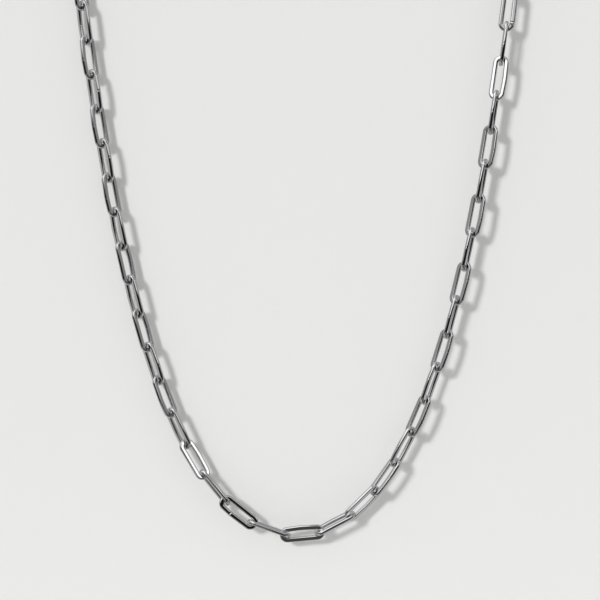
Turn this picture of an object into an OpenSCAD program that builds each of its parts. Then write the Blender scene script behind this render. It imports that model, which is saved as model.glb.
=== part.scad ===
// Paperclip chain necklace, hanging as a closed loop.
// Long oval links of flat-faced wire, each turned about a quarter turn to the next.
// The front hangs free as a catenary, the back lies round a neck, and a plain clasp closes it.
// The origin is on the underside of the clasp, at the top of the loop. The loop stands in the XZ plane.

/* [Link] */
// Distance from one joint of the chain to the next
pitch = 8; // [7:0.1:10]
// Width of a link across both of its bars
link_w = 4; // [4:0.05:4.6]
// Width of a link's wire, in the plane of the link
wire_w = 1.15; // [1:0.05:1.15]
// Thickness of a link's wire, between its two flat faces
wire_t = 0.9; // [0.7:0.05:0.95]
// Gap between two links where they hook into each other
joint_gap = 0.2; // [0.2:0.01:0.3]

/* [Loop] */
// Number of links, an odd number so that both ends of the clasp hook on alike
links = 55; // [51:2:61]
// Radius of the neck stretch, to the middle of the chain
neck_r = 49.7; // [46:0.1:54]
// Distance from the lowest point of the loop to the joint on its left
low_offset = 2.4; // [2:0.1:4]

/* [Clasp] */
// Distance between the clasp's two joints
clasp_pitch = 10; // [9.5:0.1:12]
// Width of the clasp's hook and of its round base
clasp_w = 5; // [4.8:0.1:6]
// Thickness of the clasp's base
clasp_t = 2.2; // [1.6:0.1:3]
// Radius of the hole in the clasp's eye
eye_r = 1.05; // [1.05:0.05:1.2]

/* [Hidden] */
$fn = 48;

link_len = pitch + joint_gap + 2 * wire_w;
bar_mid = (link_w - wire_w) / 2;
straight = link_len - link_w;

// The clasp has an eye at one end, a round base and a hook that is closed into an oval.
clasp_end = (clasp_pitch + joint_gap) / 2;
eye_mid = -clasp_end + eye_r;
hook_r = (clasp_w - wire_w) / 2;
hook_mid = clasp_end - hook_r + wire_w / 2;
base_mid = eye_mid + eye_r + wire_w / 2 + clasp_w / 2;

side_links = (links - 1) / 2;
loop_len = links * pitch + clasp_pitch;

// Turn of the links about the chain's own line, 0 where a link faces the front.
// It grows against the clock, as seen along the chain from left to right.
// share: place along half of the loop, 0 lowest, 1 at the clasp, less than 0 on the left
// first: turn of the links that hook on the clasp, and of each second link from them
// second: turn of the links between those, and of the clasp
TURNS = [
    // share, first, second
    [-1.00, 180, 270],
    [-0.70, 140, 230],
    [-0.60, 136, 212],
    [-0.24, 134, 220],
    [-0.18, 133, 217],
    [-0.06, 97, 186],
    [0.01, 78, 163],
    [0.08, 58, 144],
    [0.12, 47, 137],
    [0.22, 40, 125],
    [0.29, 34, 112],
    [0.50, 23, 106],
    [0.58, 10, 91],
    [1.00, 0, 90]
];
function turn_first(share) = lookup(share, [for (row = TURNS) [row[0], row[1]]]);
function turn_second(share) = lookup(share, [for (row = TURNS) [row[0], row[2]]]);

// The front is a catenary that meets the circle round the neck at a slope of lift degrees.
function asinh(v) = ln(v + sqrt(v * v + 1));
function degrees(arc) = arc * 180 / PI;
function sag_for(lift) = neck_r * sin(lift) / asinh(tan(lift));
function length_for(lift) = 2 * sag_for(lift) * tan(lift) + neck_r * (180 - lift) * PI / 90;
function solve_lift(low, high, steps) =
    let (middle = (low + high) / 2)
    steps == 0 ? middle :
    length_for(middle) < loop_len
        ? solve_lift(middle, high, steps - 1)
        : solve_lift(low, middle, steps - 1);

lift = solve_lift(low = 45, high = 89.9, steps = 40);
sag = sag_for(lift);
front_half = sag * tan(lift);
neck_z = sag / cos(lift) - sag + neck_r * cos(lift);

// Point of the chain's middle line at the length s from its lowest point, s over 0 to the right.
function front_point(s) = [sag * asinh(s / sag), 0, sqrt(sag * sag + s * s) - sag];
function neck_point(s) =
    let (angle = lift - 90 + degrees((s - front_half) / neck_r))
    [neck_r * cos(angle), 0, neck_z + neck_r * sin(angle)];
function right_point(s) = s < front_half ? front_point(s) : neck_point(s);
function loop_point(s) = s < 0 ? let (p = right_point(-s)) [-p[0], 0, p[2]] : right_point(s);

// Link 0 is the lowest one, between joints 0 and 1.
function joint_at(number) = number * pitch - low_offset;
function share_of(number) = joint_at(number + 0.5) / (loop_len / 2);
function turn_of(number) =
    (side_links - number) % 2 == 0 ? turn_first(share_of(number)) : turn_second(share_of(number));

// A bend turns in the hole of the link that faces the bend, at the middle of its neighbour's wire.
function hinge_shift(number) = (wire_w + joint_gap) / 2 * cos(2 * turn_of(number));
function hinge(number) = loop_point(joint_at(number) + hinge_shift(number));

// The clasp runs from the last joint on the right, over the top, to the last one on the left.
clasp_number = side_links + 1;
clasp_from = hinge(clasp_number);
clasp_to = hinge(-side_links);
clasp_slope = (clasp_to[2] - clasp_from[2]) / (clasp_to[0] - clasp_from[0]);
origin_z = clasp_from[2] - clasp_from[0] * clasp_slope - clasp_t / 2;

// Puts a child that lies along X between two points of the loop, turned about its own length.
module between(from, to, turn, shift = 0) {
    run = to - from;
    translate((from + to) / 2 - [0, 0, origin_z])
        rotate([0, -atan2(run[2], run[0]), 0])
            translate([shift, 0, 0])
                rotate([-turn, 0, 0])
                    children();
}

// Round wire, pressed flat on two sides.
module wire_section() {
    intersection() {
        circle(d = wire_w);
        square([wire_w, wire_t], center = true);
    }
}

// A straight stretch of wire from x = 0, with its width along Z.
module wire_bar(length) {
    rotate([90, 0, 90])
        linear_extrude(height = length)
            rotate(90)
                wire_section();
}

// A half ring of wire that opens towards less x, in the XZ plane.
module wire_end(middle_r) {
    rotate([90, 0, 0])
        rotate(-90)
            rotate_extrude(angle = 180)
                translate([middle_r, 0])
                    wire_section();
}

module wire_ring(middle_r) {
    rotate([90, 0, 0])
        rotate_extrude()
            translate([middle_r, 0])
                wire_section();
}

// One link, with its length along X and its width along Z.
module link() {
    for (side = [-1, 1])
        translate([-straight / 2, 0, side * bar_mid])
            wire_bar(straight);
    for (turn = [0, 180])
        rotate([0, turn, 0])
            translate([straight / 2, 0, 0])
                wire_end(bar_mid);
}

module chain_link(number) {
    between(hinge(number), hinge(number + 1), turn_of(number),
            shift = -(hinge_shift(number) + hinge_shift(number + 1)) / 2)
        link();
}

module left_chain() {
    color("silver")
        for (number = [-side_links : -1])
            chain_link(number);
}

module right_chain() {
    color("silver")
        for (number = [0 : side_links])
            chain_link(number);
}

// The clasp is one plain piece, with its length along X and its width along Z.
module clasp_body() {
    translate([eye_mid, 0, 0])
        wire_ring(eye_r + wire_w / 2);
    translate([base_mid, 0, 0])
        rotate([90, 0, 0])
            cylinder(d = clasp_w, h = clasp_t, center = true);
    for (side = [-1, 1])
        translate([base_mid, 0, side * hook_r])
            wire_bar(hook_mid - base_mid);
    translate([hook_mid, 0, 0])
        wire_end(hook_r);
}

module clasp() {
    color("silver")
        between(clasp_from, clasp_to, turn_of(clasp_number))
            clasp_body();
}

left_chain();
right_chain();
clasp();
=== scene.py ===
"""Paperclip chain necklace of polished steel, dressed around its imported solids.

Two half chains and a ring clasp take the place of the plain solids, link for link. They hang close in
front of a plain pale backdrop. Shapes are worked out in millimetres and put in place in metres.
"""

import logging
import math
import random
from dataclasses import dataclass, field
from enum import Enum

import bmesh
import bpy
import numpy as np
from mathutils import Matrix, Vector


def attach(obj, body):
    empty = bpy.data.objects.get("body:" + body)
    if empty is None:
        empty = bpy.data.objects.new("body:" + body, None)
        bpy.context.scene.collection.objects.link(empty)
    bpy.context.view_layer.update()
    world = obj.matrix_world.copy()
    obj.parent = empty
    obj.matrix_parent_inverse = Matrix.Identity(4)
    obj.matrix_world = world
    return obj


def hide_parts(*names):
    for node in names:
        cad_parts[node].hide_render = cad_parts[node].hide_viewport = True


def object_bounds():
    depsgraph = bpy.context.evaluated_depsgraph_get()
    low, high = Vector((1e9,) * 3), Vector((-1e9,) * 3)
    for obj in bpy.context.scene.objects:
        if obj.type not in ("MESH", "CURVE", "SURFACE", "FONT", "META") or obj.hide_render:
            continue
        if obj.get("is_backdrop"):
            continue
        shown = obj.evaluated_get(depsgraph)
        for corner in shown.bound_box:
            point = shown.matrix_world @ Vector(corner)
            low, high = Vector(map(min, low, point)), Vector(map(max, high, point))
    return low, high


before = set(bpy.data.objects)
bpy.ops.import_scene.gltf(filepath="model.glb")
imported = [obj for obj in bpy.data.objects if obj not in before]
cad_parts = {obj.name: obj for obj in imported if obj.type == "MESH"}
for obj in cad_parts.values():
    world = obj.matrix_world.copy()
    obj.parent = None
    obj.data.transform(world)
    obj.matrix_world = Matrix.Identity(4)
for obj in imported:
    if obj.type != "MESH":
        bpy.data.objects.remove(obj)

LOG = logging.getLogger("necklace")
MM = 0.001

# Directions that settle which way round a link is read from the frame.
UP_THE_CHAIN = Vector((0.3, 0.0, 1.0))
TO_THE_VIEWER = Vector((-0.1, -1.0, -0.05))

# Corners closer than this are one, in the frame's metres and in a bent wire's millimetres.
SAME_IN_FRAME = 1e-7
SAME_IN_WIRE = 0.002

# The vertex attribute that says how rubbed a link is, from 0 to 1.
WEAR = "link_wear"

# What a mesh operator gives back, the edges of a wire's open end, and a material's number that is
# plain or comes from a node.
Geometry = list[bmesh.types.BMVert | bmesh.types.BMEdge | bmesh.types.BMFace]
Section = list[bmesh.types.BMEdge]
Value = bpy.types.NodeSocket | float


class Half(Enum):
    """The two halves of the chain, each with its node's name."""

    LEFT = "left_chain"
    RIGHT = "right_chain"


class Bar(Enum):
    """The two long bars of a link, by the side of its middle line that they lie on."""

    UPPER = 1
    LOWER = -1


@dataclass(frozen=True)
class Seat:
    """Where one closed solid of the frame lies.

    Args:
        centre: Its middle, in metres.
        axes: A matrix whose columns are its length, its thickness and its width.
        size: Its extents along those axes, in millimetres.
    """

    centre: Vector
    axes: Matrix
    size: Vector

    def matrix(self) -> Matrix:
        """Turns millimetres in the piece's own axes into metres in the frame."""
        return Matrix.Translation(self.centre) @ self.axes.to_4x4() @ Matrix.Scale(MM, 4)


def faces_of_solids(bm: bmesh.types.BMesh) -> list[list[bmesh.types.BMFace]]:
    """Sorts the faces of a mesh into the closed solids that they make up.

    Args:
        bm: A mesh whose doubles are merged.

    Returns:
        One list of faces for each solid.
    """
    left = dict.fromkeys(bm.faces)
    solids = []
    while left:
        found = [left.popitem()[0]]

        # The list grows while it is walked, until no face next to one of its own is left.
        for face in found:
            new = dict.fromkeys(near for edge in face.edges for near in edge.link_faces if near in left)
            for near in new:
                del left[near]
            found.extend(new)
        solids.append(found)
    return solids


def seat_of(faces: list[bmesh.types.BMFace]) -> Seat:
    """Reads the place of a solid from the spread of its surface.

    Args:
        faces: The triangles of one closed solid.

    Returns:
        Its seat, with the length up the chain and the thickness towards the viewer.
    """
    corners = np.array([[vert.co for vert in face.verts] for face in faces])
    sides = corners[:, 1:] - corners[:, :1]
    areas = np.linalg.norm(np.cross(sides[:, 0], sides[:, 1]), axis=1) / 2
    centre = np.average(corners.mean(axis=1), axis=0, weights=areas)
    corners -= centre

    # The spread of a triangle's whole area is that of its three corners and of their sum.
    sums = corners.sum(axis=1, keepdims=True)
    points = np.concatenate([corners, sums], axis=1)
    spread = np.einsum("f,fpi,fpj->ij", areas, points, points)
    across, _, along = (Vector(axis) for axis in np.linalg.eigh(spread)[1].T)
    if along.dot(UP_THE_CHAIN) < 0:
        along.negate()
    if across.dot(TO_THE_VIEWER) < 0:
        across.negate()
    axes = Matrix((along, across, along.cross(across))).transposed()

    local = corners.reshape(-1, 3) @ np.array(axes)
    low, high = local.min(axis=0), local.max(axis=0)
    middle = Vector(centre) + axes @ Vector((low + high) / 2)
    return Seat(middle, axes, Vector((high - low) / MM))


def seats_in(node: bpy.types.Object) -> list[Seat]:
    """Reads the seats of all solids in a node of the frame.

    Args:
        node: The node, whose mesh is left as it is.

    Returns:
        The seats, the lowest first.
    """
    bm = bmesh.new()
    bm.from_mesh(node.data)
    bmesh.ops.remove_doubles(bm, verts=bm.verts, dist=SAME_IN_FRAME)
    seats = [seat_of(faces) for faces in faces_of_solids(bm)]
    bm.free()
    return sorted(seats, key=lambda seat: seat.centre.z)


def new_ring(geometry: Geometry) -> tuple[list[bmesh.types.BMVert], Section]:
    """Picks the newest ring out of an operator's result.

    Args:
        geometry: What the operator made.

    Returns:
        The ring's vertices, and the edges between them.
    """
    verts = [item for item in geometry if isinstance(item, bmesh.types.BMVert)]
    known = set(verts)
    edges = dict.fromkeys(edge for vert in verts for edge in vert.link_edges)
    return verts, [edge for edge in edges if known.issuperset(edge.verts)]


def close_wire(bm: bmesh.types.BMesh) -> None:
    """Joins the end of a bent wire to its start, and faces its surface outwards.

    Args:
        bm: The wire's mesh.
    """
    bmesh.ops.remove_doubles(bm, verts=bm.verts, dist=SAME_IN_WIRE)
    bmesh.ops.recalc_face_normals(bm, faces=bm.faces)


@dataclass(frozen=True)
class Wire:
    """Round drawn wire, pressed flat on two sides. Lengths are in millimetres.

    Args:
        width: Width in the plane of the link, which is the round wire's diameter.
        thickness: Thickness between the two flat faces.
        softness: How far the pressed edges are rounded over.
        points: Number of points round the section.
        bend_steps: Number of steps in a half turn.
    """

    width: float = 1.15
    thickness: float = 0.9
    softness: float = 0.035
    points: int = 48
    bend_steps: int = 16

    def pressed(self, height: float) -> float:
        """Presses a point of the round wire flat.

        Args:
            height: Its height over the wire's middle plane.

        Returns:
            The height that it has after pressing.
        """
        limit = self.thickness / 2
        least = math.exp(-abs(height) / self.softness) + math.exp(-limit / self.softness)
        return math.copysign(-self.softness * math.log(least), height)

    def start(self, bm: bmesh.types.BMesh, middle: Vector) -> Section:
        """Lays the first section down, across X and with its width along Z.

        Args:
            bm: The mesh to draw in.
            middle: The wire's middle there.

        Returns:
            The edges of the section.
        """
        face_x = Matrix.Translation(middle) @ Matrix.Rotation(math.pi / 2, 4, "Y")
        made = bmesh.ops.create_circle(bm, segments=self.points, radius=self.width / 2, matrix=face_x)
        for vert in made["verts"]:
            vert.co.y = middle.y + self.pressed(vert.co.y - middle.y)
        return new_ring(made["verts"])[1]

    def bend(self, bm: bmesh.types.BMesh, section: Section, middle: Vector, angle: float) -> Section:
        """Bends the wire on round a point, in the XZ plane.

        Args:
            bm: The mesh to draw in.
            section: The edges of the wire's open end.
            middle: The middle of the bend.
            angle: The angle of the bend, in radians.

        Returns:
            The edges of the new open end.
        """
        spun = bmesh.ops.spin(
            bm,
            geom=section,
            cent=middle,
            axis=(0, 1, 0),
            angle=angle,
            steps=round(self.bend_steps * angle / math.pi),
            space=Matrix.Identity(4),
        )
        return new_ring(spun["geom_last"])[1]

    def bend_through(
        self,
        bm: bmesh.types.BMesh,
        section: Section,
        middle: Vector,
        stations: list[tuple[float, float]],
    ) -> Section:
        """Bends the wire on through stations where it may be thicker or thinner.

        Args:
            bm: The mesh to draw in.
            section: The edges of the wire's open end.
            middle: The middle of the bend.
            stations: For each new section, the angle that it is bent on by and its size as a share.

        Returns:
            The edges of the new open end.
        """
        size = 1.0
        for angle, share in stations:
            grown = bmesh.ops.extrude_edge_only(bm, edges=section)
            verts, section = new_ring(grown["geom"])
            bmesh.ops.rotate(bm, verts=verts, cent=middle, matrix=Matrix.Rotation(angle, 3, "Y"))
            core = sum((vert.co for vert in verts), Vector()) / len(verts)
            factor = share / size
            bmesh.ops.scale(bm, verts=verts, vec=(factor,) * 3, space=Matrix.Translation(-core))
            size = share
        return section

    def pull(self, bm: bmesh.types.BMesh, section: Section, reach: float) -> Section:
        """Pulls the wire's open end straight on along X.

        Args:
            bm: The mesh to draw in.
            section: The edges of the wire's open end.
            reach: How far it is pulled.

        Returns:
            The edges of the new open end.
        """
        grown = bmesh.ops.extrude_edge_only(bm, edges=section)
        verts, section = new_ring(grown["geom"])
        bmesh.ops.translate(bm, verts=verts, vec=(reach, 0, 0))
        return section


@dataclass(frozen=True)
class Seam:
    """The soldered joint across one bar of a link.

    Args:
        bar: The bar that it crosses.
        place: Its place along the bar, 0 at the lower end and 1 at the upper end.
        groove: Depth of its groove, as a share of the wire.
        swell: How much the solder beside the groove stands proud, as a share of the wire.
        groove_edge: Distance from its middle to the bottom edge of the groove, in millimetres.
        swell_from: Distance to the near edge of the solder beside it.
        swell_to: Distance to the far edge of that solder.
        end: Distance at which the wire is its plain self again.
    """

    bar: Bar
    place: float
    groove: float = 0.06
    swell: float = 0.03
    groove_edge: float = 0.04
    swell_from: float = 0.1
    swell_to: float = 0.28
    end: float = 0.6

    def rows(self, length: float) -> list[tuple[float, float]]:
        """Gives the sections across the seam, from the lower end of a bar to its upper end.

        Args:
            length: Length of the bar, in millimetres.

        Returns:
            For each section, its distance from the bar's middle and its size.
        """
        middle = (self.place - 0.5) * length
        proud = 1.0 + self.swell
        rows = (
            (self.end, 1.0),
            (self.swell_to, proud),
            (self.swell_from, proud),
            (self.groove_edge, 1.0 - self.groove),
        )
        below = [(middle - away, share) for away, share in rows]
        above = [(middle + away, share) for away, share in reversed(rows)]
        return below + above


@dataclass(frozen=True)
class PaperclipLink:
    """One long oval link, bent from wire and closed with a seam. Its bars bow out a little.

    Each bar is a flat arc about a point beyond the other bar. Each end is a tight arc that meets both
    bars smoothly.

    Args:
        wire: The wire it is bent from.
        length: Its whole length, in millimetres.
        width: Its whole width, in millimetres.
        seam: The soldered joint.
        bow: How much farther out the middle of a bar is than its ends.
    """

    wire: Wire
    length: float
    width: float
    seam: Seam
    bow: float = 0.15

    def stations(self, bar: Bar, half_angle: float, radius: float) -> list[tuple[float, float]]:
        """Gives the stations through which a bar is bent, in the order in which it is bent.

        Args:
            bar: The bar.
            half_angle: Half of the angle that the bar bends through, in radians.
            radius: The radius of its bend.

        Returns:
            For each station, the angle from the one before it and the wire's size there.
        """
        side = bar.value
        rows = self.seam.rows(2 * half_angle * radius)[::side] if bar is self.seam.bar else []
        angles = [-half_angle, *(side * away / radius for away, _ in rows), half_angle]
        steps = [last - first for first, last in zip(angles, angles[1:])]
        shares = [*(share for _, share in rows), 1.0]
        return list(zip(steps, shares))

    def shape(self) -> bmesh.types.BMesh:
        """Bends the link round and closes it.

        Returns:
            Its mesh, with its length along X and its width along Z.
        """
        line = (self.width - self.wire.width) / 2
        end_radius = line - self.bow
        end_middle = (self.length - self.wire.width) / 2 - end_radius
        drop = (end_middle**2 - self.bow**2) / (2 * self.bow)
        bar_radius = drop + line
        half_angle = math.atan2(end_middle, drop)
        end_turn = math.pi - 2 * half_angle

        bm = bmesh.new()
        section = self.wire.start(bm, Vector((0, 0, line)))
        turned = Matrix.Rotation(-half_angle, 3, "Y")
        bmesh.ops.rotate(bm, verts=bm.verts, cent=(0, 0, -drop), matrix=turned)
        for bar in Bar:
            bar_middle = Vector((0, 0, -bar.value * drop))
            stations = self.stations(bar, half_angle, bar_radius)
            section = self.wire.bend_through(bm, section, bar_middle, stations)
            section = self.wire.bend(bm, section, Vector((bar.value * end_middle, 0, 0)), end_turn)
        close_wire(bm)
        return bm


def add_part(whole: bmesh.types.BMesh, part: bmesh.types.BMesh, seat: Seat) -> None:
    """Puts a part in its seat and adds it to a whole.

    Args:
        whole: The whole, in the frame's metres.
        part: The part, in millimetres, which is used up.
        seat: The part's seat.
    """
    bmesh.ops.transform(part, matrix=seat.matrix(), verts=part.verts)
    carrier = bpy.data.meshes.new("carrier")
    part.to_mesh(carrier)
    part.free()
    whole.from_mesh(carrier)
    bpy.data.meshes.remove(carrier)


def finished_piece(
    name: str, bm: bmesh.types.BMesh, material: bpy.types.Material, node: str
) -> bpy.types.Object:
    """Makes an object of a mesh and puts it in the place of a node.

    Args:
        name: The piece's name.
        bm: Its mesh in the frame's metres, which is used up.
        material: Its finish.
        node: The node that it stands for.

    Returns:
        The new object.
    """
    mesh = bpy.data.meshes.new(name)
    bm.to_mesh(mesh)
    bm.free()
    mesh.materials.append(material)
    mesh.shade_smooth()
    piece = bpy.data.objects.new(name, mesh)
    bpy.context.scene.collection.objects.link(piece)
    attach(piece, "root")
    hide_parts(node)
    return piece


@dataclass(frozen=True)
class ChainHalf:
    """Half of the chain, with all its links in one piece.

    Args:
        half: Which half it is.
        wire: The wire of its links.
        seed: Sets where its seams are and how rubbed each link is.
        seen: The seams that the photograph shows, by the link's number from the lowest.
        place: Where on a bar the other seams may be.
        groove: How deep the other seams' grooves may be, as shares of the wire.
        swell: How much their solder may stand proud.
    """

    half: Half
    wire: Wire
    seed: int
    seen: dict[int, Seam]
    place: tuple[float, float] = (0.35, 0.65)
    groove: tuple[float, float] = (0.003, 0.012)
    swell: tuple[float, float] = (0.0, 0.004)

    def seam(self, rng: random.Random) -> Seam:
        """Picks one link's seam, a little different each time.

        Args:
            rng: The half's own random numbers.

        Returns:
            The seam.
        """
        return Seam(
            bar=rng.choice(list(Bar)),
            place=rng.uniform(*self.place),
            groove=rng.uniform(*self.groove),
            swell=rng.uniform(*self.swell),
        )

    def build(self, node: bpy.types.Object, material: bpy.types.Material) -> bpy.types.Object:
        """Shapes a link in each seat of the node.

        Args:
            node: The frame's node of this half.
            material: The links' finish.

        Returns:
            The finished piece.
        """
        rng = random.Random(self.seed)
        whole = bmesh.new()
        for number, seat in enumerate(seats_in(node)):
            seam = self.seen.get(number, self.seam(rng))

            # The square leaves most links hardly rubbed.
            wear = rng.random() ** 2
            part = PaperclipLink(self.wire, seat.size.x, seat.size.z, seam).shape()
            layer = part.verts.layers.float.new(WEAR)
            for vert in part.verts:
                vert[layer] = wear
            add_part(whole, part, seat)
        name = self.half.value.replace("chain", "links")
        return finished_piece(name, whole, material, self.half.value)


@dataclass(frozen=True)
class RingClasp:
    """A plain ring clasp: an eye, a round base and a closed hook. Lengths are in millimetres.

    Args:
        wire: The wire of the eye and the hook.
        base_width: Diameter of the round base.
        base_thickness: Thickness of the base.
        base_points: Number of points round the base.
        eye_radius: Radius of the hole in the eye.
        rim: Width of the base's rounded rim.
        rim_steps: Number of steps over the rim.
    """

    wire: Wire
    base_width: float = 5.0
    base_thickness: float = 2.2
    base_points: int = 64
    eye_radius: float = 1.05
    rim: float = 0.3
    rim_steps: int = 4

    def eye(self, middle_x: float) -> bmesh.types.BMesh:
        """Bends the eye round.

        Args:
            middle_x: The middle of the eye along the clasp.

        Returns:
            The eye's mesh.
        """
        line = self.eye_radius + self.wire.width / 2
        middle = Vector((middle_x, 0, 0))
        bm = bmesh.new()
        section = self.wire.start(bm, middle + Vector((0, 0, line)))
        section = self.wire.bend(bm, section, middle, math.pi)
        self.wire.bend(bm, section, middle, math.pi)
        close_wire(bm)
        return bm

    def caps(self, bm: bmesh.types.BMesh) -> list[bmesh.types.BMFace]:
        """Picks the base's two round faces, the only ones with more than four corners."""
        return [face for face in bm.faces if len(face.verts) > 4]

    def base(self, middle_x: float) -> bmesh.types.BMesh:
        """Turns the round base, with its rims rounded over.

        Args:
            middle_x: The middle of the base along the clasp.

        Returns:
            The base's mesh.
        """
        bm = bmesh.new()
        bmesh.ops.create_cone(
            bm,
            cap_ends=True,
            segments=self.base_points,
            radius1=self.base_width / 2,
            radius2=self.base_width / 2,
            depth=self.base_thickness,
            matrix=Matrix.Translation((middle_x, 0, 0)) @ Matrix.Rotation(math.pi / 2, 4, "X"),
        )
        rims = list(dict.fromkeys(edge for face in self.caps(bm) for edge in face.edges))
        bmesh.ops.bevel(
            bm,
            geom=rims,
            offset=self.rim,
            segments=self.rim_steps,
            profile=0.5,
            affect="EDGES",
            material=-1,
        )
        bmesh.ops.inset_individual(
            bm, faces=self.caps(bm), thickness=self.rim, depth=0.0, use_even_offset=True
        )
        return bm

    def hook(self, start_x: float, end_x: float) -> bmesh.types.BMesh:
        """Bends the closed hook from the base, round the end and back.

        Args:
            start_x: Where its two bars start along the clasp, inside the base.
            end_x: The far end of the hook.

        Returns:
            The hook's mesh.
        """
        line = (self.base_width - self.wire.width) / 2
        turn_x = end_x - self.base_width / 2
        bm = bmesh.new()
        section = self.wire.start(bm, Vector((start_x, 0, line)))
        section = self.wire.pull(bm, section, turn_x - start_x)
        section = self.wire.bend(bm, section, Vector((turn_x, 0, 0)), math.pi)
        self.wire.pull(bm, section, start_x - turn_x)
        bmesh.ops.holes_fill(bm, edges=bm.edges, sides=0)
        bmesh.ops.recalc_face_normals(bm, faces=bm.faces)
        return bm

    def build(self, node: bpy.types.Object, material: bpy.types.Material) -> bpy.types.Object:
        """Shapes the clasp in the seat of its node.

        Args:
            node: The frame's node of the clasp.
            material: Its finish.

        Returns:
            The finished piece.
        """
        seat = seats_in(node)[0]
        hook_end = seat.size.x / 2
        eye_x = -hook_end + self.wire.width + self.eye_radius
        base_x = eye_x + self.eye_radius + self.wire.width / 2 + self.base_width / 2
        whole = bmesh.new()
        for part in (self.eye(eye_x), self.base(base_x), self.hook(base_x, hook_end)):
            add_part(whole, part, seat)
        return finished_piece("ring_clasp", whole, material, "clasp")


class NodeBench:
    """Lays out the nodes of one tree, with short names for what each material repeats."""

    def __init__(self, tree: bpy.types.NodeTree) -> None:
        """Starts on an emptied tree."""
        self.tree = tree
        tree.nodes.clear()

    def add(self, kind: str, **settings: object) -> bpy.types.Node:
        """Adds a node.

        Args:
            kind: The node's type.
            settings: What each of its named properties is set to.

        Returns:
            The node.
        """
        node = self.tree.nodes.new(kind)
        for name, value in settings.items():
            setattr(node, name, value)
        return node

    def join(self, source: bpy.types.NodeSocket, target: bpy.types.NodeSocket) -> None:
        """Links an output to an input."""
        self.tree.links.new(source, target)

    def give(self, target: bpy.types.NodeSocket, value: object) -> None:
        """Links an input to another node's output, or sets it to a plain value.

        Args:
            target: The input.
            value: The output or the plain value.
        """
        if isinstance(value, bpy.types.NodeSocket):
            self.join(value, target)
        else:
            target.default_value = value

    def feed(self, node: bpy.types.Node, **values: object) -> None:
        """Gives each named input of a node its value.

        Args:
            node: The node.
            values: The value of each input, whose name has _ for a space.
        """
        for name, value in values.items():
            self.give(node.inputs[name.replace("_", " ")], value)

    def math(self, operation: str, *values: Value) -> bpy.types.NodeSocket:
        """Adds a Math node.

        Args:
            operation: What it works out.
            values: Its inputs in order.

        Returns:
            Its result.
        """
        node = self.add("ShaderNodeMath", operation=operation)
        for target, value in zip(node.inputs, values):
            self.give(target, value)
        return node.outputs[0]

    def math_mix(self, share: Value, first: Value, second: Value) -> bpy.types.NodeSocket:
        """Mixes two values.

        Args:
            share: 0 for the first value and 1 for the second.
            first: The first value.
            second: The second value.

        Returns:
            The mixed value.
        """
        node = self.add("ShaderNodeMix", data_type="FLOAT")
        inputs = {item.name: item for item in node.inputs if item.type == "VALUE"}
        for name, value in (("Factor", share), ("A", first), ("B", second)):
            self.give(inputs[name], value)
        return node.outputs[0]

    def smooth_step(
        self, value: Value, low: float, high: float, start: float = 0.0, end: float = 1.0
    ) -> bpy.types.NodeSocket:
        """Turns one span of values into another, along a smooth step.

        Args:
            value: The value to turn.
            low: Where the step begins.
            high: Where it ends.
            start: The result up to low.
            end: The result from high.

        Returns:
            The result.
        """
        node = self.add("ShaderNodeMapRange", interpolation_type="SMOOTHSTEP")
        self.feed(node, Value=value, From_Min=low, From_Max=high, To_Min=start, To_Max=end)
        return node.outputs["Result"]


@dataclass(frozen=True)
class Lay:
    """One of the ways in which rubbed marks run.

    Args:
        turn: Its turn about the Y axis, in radians.
        crowding: How closely marks follow each other along X, Y and Z. A small share draws them out.
    """

    turn: float
    crowding: tuple[float, float, float]


@dataclass(frozen=True)
class RubbedMarks:
    """The fine rubbed marks and shallow dents that every polished surface here has.

    Args:
        lays: The two ways in which the marks run. A mark shows where both meet.
        mark_detail: How many finer layers the marks have.
        rubbed_from: The height from which the surface counts as rubbed.
        rubbed_whole: The height at which it is wholly rubbed.
        dent_crowding: How closely the dents follow each other, as a share of the marks.
        dent_detail: How many finer layers the dents have.
    """

    lays: tuple[Lay, Lay] = (Lay(0.35, (1.0, 1.0, 0.12)), Lay(-0.5, (0.12, 1.0, 1.0)))
    mark_detail: float = 2.0
    rubbed_from: float = 0.2
    rubbed_whole: float = 0.4
    dent_crowding: float = 0.3
    dent_detail: float = 1.0

    def group(self) -> bpy.types.NodeTree:
        """Makes the shader node group.

        Returns:
            The group, with Mark Size in metres and Dents as a share in, and a height and a mask out.
        """
        tree = bpy.data.node_groups.new("Rubbed Marks", "ShaderNodeTree")
        for way, names in (("INPUT", ("Mark Size", "Dents")), ("OUTPUT", ("Height", "Rubbed"))):
            for name in names:
                tree.interface.new_socket(name, in_out=way, socket_type="NodeSocketFloat")
        bench = NodeBench(tree)
        given = bench.add("NodeGroupInput")
        place = bench.add("ShaderNodeTexCoord").outputs["Object"]
        scale = bench.math("DIVIDE", 1.0, given.outputs["Mark Size"])
        marks = []
        for lay in self.lays:
            mapping = bench.add("ShaderNodeMapping")
            bench.feed(mapping, Vector=place, Rotation=(0.0, lay.turn, 0.0), Scale=lay.crowding)
            noise = bench.add("ShaderNodeTexNoise")
            bench.feed(noise, Vector=mapping.outputs[0], Scale=scale, Detail=self.mark_detail)
            marks.append(noise.outputs["Fac"])
        scratches = bench.math("MULTIPLY", *marks)
        rubbed = bench.smooth_step(scratches, self.rubbed_from, self.rubbed_whole)
        dent_scale = bench.math("MULTIPLY", scale, self.dent_crowding)
        dents = bench.add("ShaderNodeTexNoise")
        bench.feed(dents, Vector=place, Scale=dent_scale, Detail=self.dent_detail)
        dent_height = bench.math("MULTIPLY", dents.outputs["Fac"], given.outputs["Dents"])
        out = bench.add("NodeGroupOutput")
        bench.feed(out, Height=bench.math("ADD", scratches, dent_height), Rubbed=rubbed)
        return tree


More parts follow.
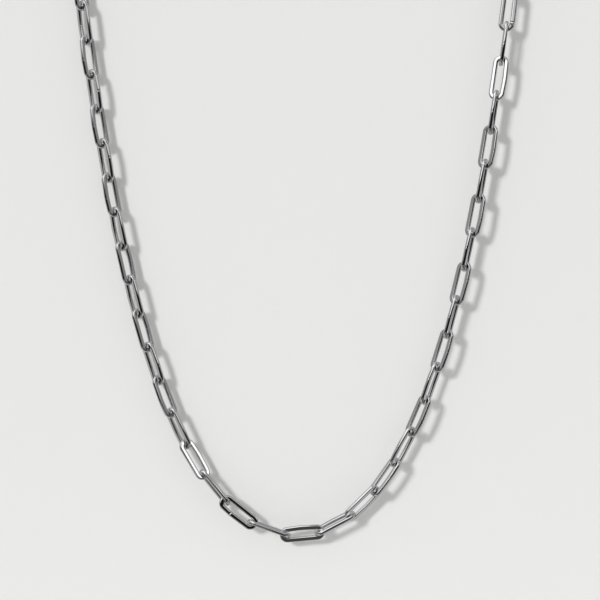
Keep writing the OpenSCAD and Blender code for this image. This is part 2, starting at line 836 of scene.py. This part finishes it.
@dataclass(frozen=True)
class PolishedSteel:
    """A polished steel finish with fine rubbed marks.

    Args:
        name: The material's name.
        colour: The metal's colour.
        smooth: Roughness where the polish is whole.
        rubbed: Roughness where it is rubbed.
        mark_size: Width of the marks, in metres.
        relief: Height of the marks and dents, in metres.
        dents: How much the shallow dents add to the marks.
        least_rubbing: How rubbed a link without wear is, beside the wear of the others.
        least_relief: How much relief a link without wear has, beside the wear of the others.
    """

    name: str
    colour: tuple[float, float, float, float]
    smooth: float
    rubbed: float
    mark_size: float
    relief: float
    dents: float
    least_rubbing: float = 0.3
    least_relief: float = 0.25

    def material(self, marks: bpy.types.NodeTree) -> bpy.types.Material:
        """Builds the finish around the group of rubbed marks.

        Args:
            marks: The group.

        Returns:
            The material.
        """
        made = bpy.data.materials.new(self.name)
        made.use_nodes = True
        bench = NodeBench(made.node_tree)
        group = bench.add("ShaderNodeGroup", node_tree=marks)
        bench.feed(group, Mark_Size=self.mark_size, Dents=self.dents)
        wear = bench.add("ShaderNodeAttribute", attribute_name=WEAR).outputs["Fac"]
        share = bench.math("MULTIPLY", group.outputs["Rubbed"], bench.math("ADD", wear, self.least_rubbing))
        roughness = bench.smooth_step(share, 0.0, 1.0 + self.least_rubbing, self.smooth, self.rubbed)
        height = bench.math("MULTIPLY", group.outputs["Height"], bench.math("ADD", wear, self.least_relief))
        bump = bench.add("ShaderNodeBump")
        bench.feed(bump, Strength=1.0, Distance=self.relief, Height=height)
        steel = bench.add("ShaderNodeBsdfPrincipled")
        bench.feed(steel, Base_Color=self.colour, Metallic=1.0, Roughness=roughness, Normal=bump.outputs[0])
        out = bench.add("ShaderNodeOutputMaterial")
        bench.join(steel.outputs[0], out.inputs["Surface"])
        return made


@dataclass(frozen=True)
class Card:
    """A soft-edged patch of the studio that the metal mirrors. Angles are in degrees.

    Args:
        azimuth: Its left and its right end, 0 towards the viewer and 90 to the right.
        elevation: Its lower and its upper end.
        brightness: Its light.
        edge: The width of its soft edge.
    """

    azimuth: tuple[float, float]
    elevation: tuple[float, float]
    brightness: float
    edge: float = 10.0

    def inside(self, bench: NodeBench, azimuth: Value, elevation: Value) -> bpy.types.NodeSocket:
        """Gives 1 in the card and 0 outside it.

        Args:
            bench: The world's nodes.
            azimuth: The azimuth of the way that is looked along, in degrees.
            elevation: Its elevation.

        Returns:
            The card's mask.
        """
        share = 1.0
        soft = self.edge / 2
        for angle, (low, high) in ((azimuth, self.azimuth), (elevation, self.elevation)):
            entered = bench.smooth_step(angle, low - soft, low + soft)
            left = bench.smooth_step(angle, high - soft, high + soft, 1.0, 0.0)
            share = bench.math("MULTIPLY", share, bench.math("MULTIPLY", entered, left))
        return share


@dataclass(frozen=True)
class Backdrop:
    """A pale sheet that hangs close behind the chain and curves into a floor. Lengths are in millimetres.

    Args:
        gap: Distance from the chain's middle back to the sheet.
        turn: Turn of the sheet about the upright axis, in degrees.
        drop: Distance from the lowest link down to the floor.
        sweep: Radius of the curve between sheet and floor.
        sweep_steps: Number of steps in that curve.
        reach: Half of the sheet's width, and its height above the chain.
        floor_depth: How far the floor comes forward.
        unseen_below: How far below the lowest link the metal stops mirroring the sheet.
        mirrored: How bright the sheet is in the metal, as a share. This is painted shade: the sheet's
            colour is darkened in reflections to stand in for the chain's shadow and the shade close to it.
        colour: The sheet's colour.
    """

    gap: float = 4.3
    turn: float = 1.2
    drop: float = 55.0
    sweep: float = 40.0
    sweep_steps: int = 24
    reach: float = 500.0
    floor_depth: float = 700.0
    unseen_below: float = 15.0
    # Painted shade: the share of the sheet's colour that the metal's reflections show.
    mirrored: float = 0.55
    colour: tuple[float, float, float, float] = (0.86, 0.86, 0.85, 1.0)

    def shape(self, bend: float) -> bmesh.types.BMesh:
        """Sweeps the sheet down and forward.

        Args:
            bend: The height at which the sheet starts to curve forward, in millimetres.

        Returns:
            Its mesh, in metres and facing the chain.
        """
        bm = bmesh.new()
        ends = [bm.verts.new((side * self.reach, self.gap, self.reach)) for side in (-1, 1)]
        grown = bmesh.ops.extrude_edge_only(bm, edges=[bm.edges.new(ends)])
        verts, edges = new_ring(grown["geom"])
        bmesh.ops.translate(bm, verts=verts, vec=(0, 0, bend - self.reach))
        spun = bmesh.ops.spin(
            bm,
            geom=edges,
            cent=(0, self.gap - self.sweep, bend),
            axis=(1, 0, 0),
            angle=-math.pi / 2,
            steps=self.sweep_steps,
            space=Matrix.Identity(4),
        )
        grown = bmesh.ops.extrude_edge_only(bm, edges=new_ring(spun["geom_last"])[1])
        verts = new_ring(grown["geom"])[0]
        bmesh.ops.translate(bm, verts=verts, vec=(0, -self.floor_depth, 0))
        bmesh.ops.recalc_face_normals(bm, faces=bm.faces)
        wall = max(bm.faces, key=lambda face: face.calc_center_median().z)
        if wall.normal.y > 0:
            bmesh.ops.reverse_faces(bm, faces=bm.faces)
        place = Matrix.Scale(MM, 4) @ Matrix.Rotation(math.radians(self.turn), 4, "Z")
        bmesh.ops.transform(bm, matrix=place, verts=bm.verts)
        return bm

    def material(self, unseen_from: float) -> bpy.types.Material:
        """Makes the sheet matt in front, and clear from behind so that it hides nothing there. Where the
        metal mirrors it, its colour is darkened as painted shade.

        Args:
            unseen_from: The height, in metres, below which the metal doesn't mirror it.

        Returns:
            The sheet's material.
        """
        made = bpy.data.materials.new("Pale Backdrop")
        made.use_nodes = True
        bench = NodeBench(made.node_tree)
        matt = bench.add("ShaderNodeBsdfDiffuse")
        clear = bench.add("ShaderNodeBsdfTransparent")
        behind = bench.add("ShaderNodeNewGeometry").outputs["Backfacing"]
        place = bench.add("ShaderNodeSeparateXYZ")
        bench.join(bench.add("ShaderNodeTexCoord").outputs["Object"], place.inputs[0])
        under = bench.math("LESS_THAN", place.outputs["Z"], unseen_from)
        in_metal = bench.add("ShaderNodeLightPath").outputs["Is Glossy Ray"]
        unseen = bench.math("MAXIMUM", behind, bench.math("MULTIPLY", under, in_metal))
        # Painted shade: for glossy rays the sheet's colour is scaled down by the mirrored share, standing
        # in for the chain's shadow and the shade close to it.
        shown = bench.add("ShaderNodeVectorMath", operation="SCALE")
        shown.inputs[0].default_value = self.colour[:3]
        bench.join(bench.math_mix(in_metal, 1.0, self.mirrored), shown.inputs["Scale"])
        bench.join(shown.outputs[0], matt.inputs["Color"])
        mix = bench.add("ShaderNodeMixShader")
        for target, source in zip(mix.inputs, (unseen, matt.outputs[0], clear.outputs[0])):
            bench.join(source, target)
        out = bench.add("ShaderNodeOutputMaterial")
        bench.join(mix.outputs[0], out.inputs["Surface"])
        return made

    def build(self, low: Vector) -> bpy.types.Object:
        """Hangs the sheet behind the chain.

        Args:
            low: The necklace's lowest corner, in metres.

        Returns:
            The staged sheet.
        """
        mesh = bpy.data.meshes.new("backdrop")
        bm = self.shape(low.z / MM - self.drop + self.sweep)
        bm.to_mesh(mesh)
        bm.free()
        mesh.shade_smooth()
        mesh.materials.append(self.material(low.z - self.unseen_below * MM))
        sheet = bpy.data.objects.new("backdrop", mesh)
        bpy.context.scene.collection.objects.link(sheet)
        sheet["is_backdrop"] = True
        return sheet


@dataclass(frozen=True)
class Lighting:
    """The light on the chain and what its metal mirrors.

    Args:
        slope: How far the main light comes from the left and from above, for each unit from the front.
        width: Angle across the main light, in degrees.
        strength: The main light's strength.
        fill: Even light from all round on matt surfaces.
        room: What the metal mirrors where no card is.
        pale: The plain brightness that the camera sees behind everything.
        cards: What the metal mirrors, each over the ones before it.
    """

    slope: tuple[float, float] = (0.6, 0.32)
    width: float = 10.0
    strength: float = 1.5
    fill: float = 0.5
    room: float = 0.008
    pale: float = 0.82
    cards: dict[str, Card] = field(
        default_factory=lambda: {
            # azimuth, elevation, brightness, soft edge
            "floor": Card((-200, 200), (-100, -30), 0.45),
            "dark floor": Card((-45, 50), (-100, -28), 0.06),
            "left floor": Card((-66, -7), (-32, -20), 0.35, 6),
            "left wall": Card((-150, -88), (-32, 5), 0.4, 6),
            "upper left wall": Card((-150, -42), (2, 30), 0.3, 8),
            "ceiling": Card((-200, 200), (30, 100), 0.3, 8),
            "left ceiling": Card((-150, 0), (30, 100), 1.2, 12),
            "window": Card((-38, -17), (8, 30), 1.5, 5),
            "curtain": Card((-17, 26), (9, 30), 0.6, 4),
            "lamp": Card((34, 50), (13, 30), 1.5, 4),
            "upper right wall": Card((56, 150), (6, 30), 0.25, 8),
            "right wall": Card((64, 150), (-30, 6), 0.12, 10),
        }
    )

    def sun(self) -> bpy.types.Object:
        """Hangs the main light, which the metal doesn't mirror.

        Returns:
            The light.
        """
        lamp = bpy.data.lights.new("main_light", "SUN")
        lamp.energy = self.strength
        lamp.angle = math.radians(self.width)
        hung = bpy.data.objects.new("main_light", lamp)
        hung.visible_glossy = False
        travel = Vector((self.slope[0], 1.0, -self.slope[1]))
        hung.rotation_euler = travel.to_track_quat("-Z", "Y").to_euler()
        bpy.context.scene.collection.objects.link(hung)
        return hung

    def world(self) -> bpy.types.World:
        """Paints the surroundings: plain for the camera, even on matt surfaces, cards in the metal.

        Returns:
            The scene's world.
        """
        world = bpy.data.worlds.new("studio")
        world.use_nodes = True
        bench = NodeBench(world.node_tree)
        way = bench.add("ShaderNodeSeparateXYZ")
        bench.join(bench.add("ShaderNodeTexCoord").outputs["Generated"], way.inputs[0])
        right, back, up = way.outputs
        forward = bench.math("MULTIPLY", back, -1.0)
        azimuth = bench.math("DEGREES", bench.math("ARCTAN2", right, forward))
        elevation = bench.math("DEGREES", bench.math("ARCSINE", up))
        mirrored = self.room
        for card in self.cards.values():
            mirrored = bench.math_mix(card.inside(bench, azimuth, elevation), mirrored, card.brightness)
        path = bench.add("ShaderNodeLightPath")
        light = bench.math_mix(path.outputs["Is Glossy Ray"], self.fill, mirrored)
        light = bench.math_mix(path.outputs["Is Camera Ray"], light, self.pale)
        shine = bench.add("ShaderNodeBackground")
        bench.feed(shine, Color=(1.0, 1.0, 1.0, 1.0), Strength=light)
        out = bench.add("ShaderNodeOutputWorld")
        bench.join(shine.outputs[0], out.inputs["Surface"])
        bpy.context.scene.world = world
        return world


@dataclass(frozen=True)
class Viewpoint:
    """The camera, straight in front of the lower part of the loop. Lengths are in millimetres.

    Args:
        side: How far it stands to the right of the loop's middle.
        away: How far it stands in front of the loop.
        above_lowest: How far it stands above the lowest link.
        lens: Focal length on a sensor 36 mm wide.
        sees_from: Distance from which it sees, in metres.
    """

    side: float = 1.03
    away: float = 517.0
    above_lowest: float = 55.88
    lens: float = 135.0
    sees_from: float = 0.01

    def camera(self, low: Vector) -> bpy.types.Object:
        """Sets the camera up, level, and looks through it.

        Args:
            low: The necklace's lowest corner, in metres.

        Returns:
            The scene's camera.
        """
        eye = bpy.data.cameras.new("camera")
        eye.lens = self.lens
        eye.clip_start = self.sees_from
        stand = bpy.data.objects.new("camera", eye)
        stand.location = (self.side * MM, -self.away * MM, low.z + self.above_lowest * MM)
        stand.rotation_euler = (math.pi / 2, 0.0, 0.0)
        bpy.context.scene.collection.objects.link(stand)
        bpy.context.scene.camera = stand
        return stand


def report(made: bpy.types.ID) -> None:
    """Says in the log what was made."""
    LOG.info("made %s", made.name)


def main() -> None:
    """Builds the necklace and its studio, and reports each piece."""
    logging.basicConfig(level=logging.INFO, format="%(name)s: %(message)s")
    cad_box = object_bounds()
    low = cad_box[0]
    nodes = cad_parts

    marks = RubbedMarks().group()
    link_steel = PolishedSteel(
        name="Link Steel",
        colour=(0.8, 0.8, 0.81, 1.0),
        smooth=0.05,
        rubbed=0.16,
        mark_size=9e-5,
        relief=1.5e-6,
        dents=1.0,
    ).material(marks)
    clasp_steel = PolishedSteel(
        name="Clasp Steel",
        colour=(0.78, 0.78, 0.79, 1.0),
        smooth=0.18,
        rubbed=0.35,
        mark_size=1.2e-4,
        relief=3e-6,
        dents=0.6,
    ).material(marks)

    wire = Wire()
    left = ChainHalf(
        half=Half.LEFT,
        wire=wire,
        seed=7,
        seen={
            1: Seam(bar=Bar.LOWER, place=0.7),
            14: Seam(bar=Bar.UPPER, place=0.5),
        },
    )
    right = ChainHalf(
        half=Half.RIGHT,
        wire=wire,
        seed=12,
        seen={
            15: Seam(bar=Bar.UPPER, place=0.5, groove=0.0, swell=0.0),
            17: Seam(bar=Bar.UPPER, place=0.08),
        },
    )
    for chain in (left, right):
        report(chain.build(nodes[chain.half.value], link_steel))
    report(RingClasp(wire).build(nodes["clasp"], clasp_steel))

    lighting = Lighting()
    report(Backdrop().build(low))
    report(lighting.sun())
    report(lighting.world())
    report(Viewpoint().camera(low))
    bpy.context.scene.view_settings.view_transform = "Standard"


if __name__ == "__main__":
    main()
